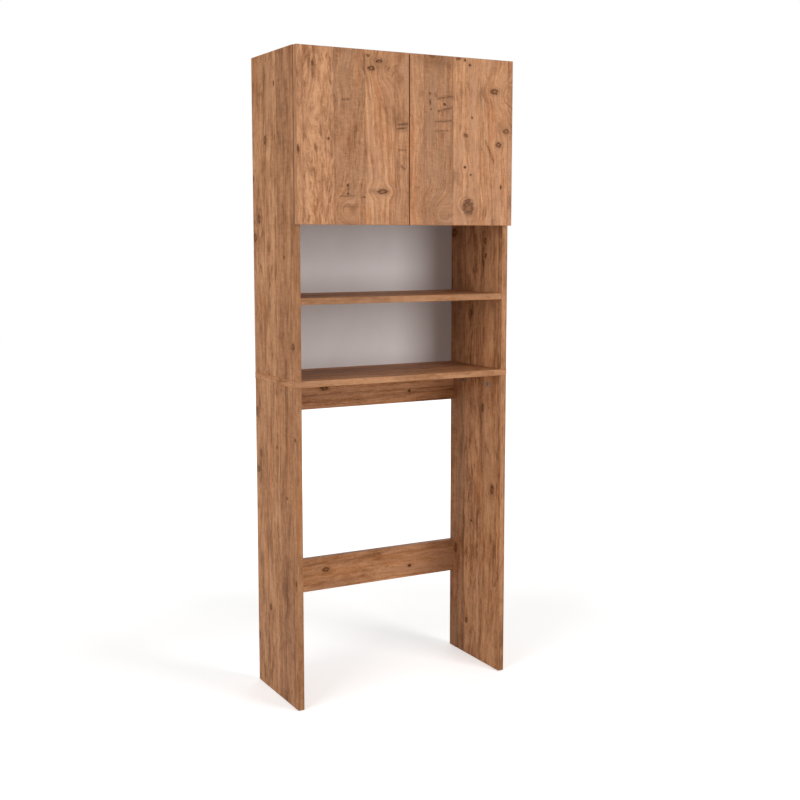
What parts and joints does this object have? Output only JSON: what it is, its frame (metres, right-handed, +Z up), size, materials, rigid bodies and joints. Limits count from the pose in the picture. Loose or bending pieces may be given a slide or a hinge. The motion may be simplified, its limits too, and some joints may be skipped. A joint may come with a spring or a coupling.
{
  "type": "washing machine cabinet",
  "caption": "Tall over-washer cabinet in wood decor: a two-door cupboard over two open niches, standing on two leg panels with an open bay between them.",
  "frame": {"origin": "on the floor, in the middle of the overall width and depth", "axes": "+X to the right seen from the front, +Y to the back, +Z up"},
  "size_m": [0.677, 0.3082, 1.8],
  "materials": {
    "decor_board": "satin printed wood decor on board, rustic grain",
    "decor_door": "satin printed wood decor on board, rustic grain",
    "back_panel": "pale warm grey painted hardboard",
    "beech": "raw fluted beech",
    "nail_steel": "plain",
    "screw_steel": "zinc plated",
    "pin_steel": "polished",
    "hinge_steel": "nickel plated",
    "bracket_steel": "zinc plated",
    "zinc": "die-cast",
    "glide_plastic": "smooth",
    "bumper_rubber": "translucent soft"
  },
  "bodies": {
    "carcass": {"left_upper_side": "decor_board", "right_upper_side": "decor_board", "left_leg_panel": "decor_board", "right_leg_panel": "decor_board", "bottom_board": "decor_board", "niche_shelf": "decor_board", "cupboard_floor": "decor_board", "top_panel": "decor_board", "cupboard_shelf": "decor_board", "upper_rear_rail": "decor_board", "lower_rear_rail": "decor_board", "back_panel": "back_panel", "back_nails": "nail_steel", "cam_bolts": "zinc", "cam_locks": "zinc", "wooden_dowels": "beech", "long_screws": "screw_steel", "floor_glides": "glide_plastic", "shelf_pins": "pin_steel", "door_bumpers": "bumper_rubber", "wall_brackets": "bracket_steel", "bracket_screws": "screw_steel", "left_hinge_arms": "hinge_steel", "left_mounting_plates": "hinge_steel", "left_plate_screws": "screw_steel", "left_arm_screws": "screw_steel", "right_hinge_arms": "hinge_steel", "right_mounting_plates": "hinge_steel", "right_plate_screws": "screw_steel", "right_arm_screws": "screw_steel"},
    "left_door": {"left_door": "decor_door", "left_hinge_cups": "hinge_steel", "left_hinge_pins": "pin_steel", "left_cup_screws": "screw_steel"},
    "right_door": {"right_door": "decor_door", "right_hinge_cups": "hinge_steel", "right_hinge_pins": "pin_steel", "right_cup_screws": "screw_steel"}
  },
  "joints": [
    {"name": "left_door_hinge", "type": "hinge", "parent": "carcass", "child": "left_door", "pos_m": [-0.3298, -0.14715, 1.5675], "axis": [0, 0, -1], "range_deg": [0, 95]},
    {"name": "right_door_hinge", "type": "hinge", "parent": "carcass", "child": "right_door", "pos_m": [0.3298, -0.14715, 1.5675], "axis": [0, 0, 1], "range_deg": [0, 95]}
  ]
}
